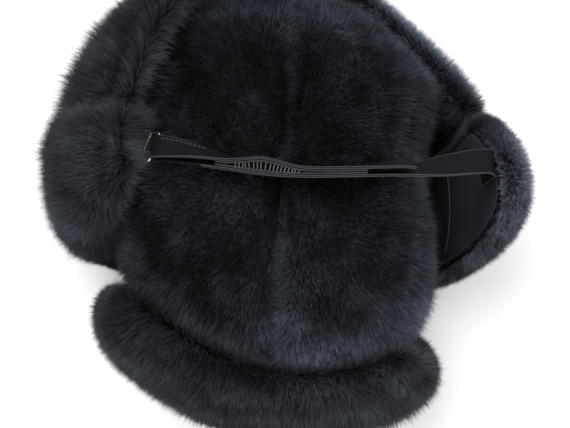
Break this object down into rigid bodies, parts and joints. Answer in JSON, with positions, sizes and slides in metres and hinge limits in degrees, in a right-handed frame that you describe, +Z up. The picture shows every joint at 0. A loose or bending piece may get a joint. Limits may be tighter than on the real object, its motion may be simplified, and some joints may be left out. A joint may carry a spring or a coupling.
{
  "type": "shearling trapper hat",
  "caption": "Shearling trapper hat of Europe and the Americas: a domed two-panel crown, turned-up wool flaps with smooth facings, and a webbing strap over the crown.",
  "frame": {"origin": "middle of the head opening, on the plane of the rim that the hat rests on", "axes": "+Z is up out of the top of the crown, the forehead faces -Y and the wearer's left ear is at +X"},
  "size_m": [0.3167, 0.3421, 0.1584],
  "materials": {
    "wool": "matte",
    "facing": "satin",
    "webbing": "satin",
    "hook_and_loop": "matte",
    "brass": "polished"
  },
  "bodies": {
    "root": {"crown_left_panel": "wool", "crown_right_panel": "wool", "front_flap": "wool", "front_flap_facing": "facing", "left_ear_flap": "wool", "left_ear_flap_facing": "facing", "left_ear_flap_welt": "facing", "neck_flap": "wool", "neck_flap_facing": "facing", "right_ear_flap": "wool", "right_ear_flap_facing": "facing", "strap": "webbing", "loop_patch": "hook_and_loop", "hook_patch": "hook_and_loop", "strap_ring": "brass", "ring_tab": "webbing"}
  },
  "joints": []
}
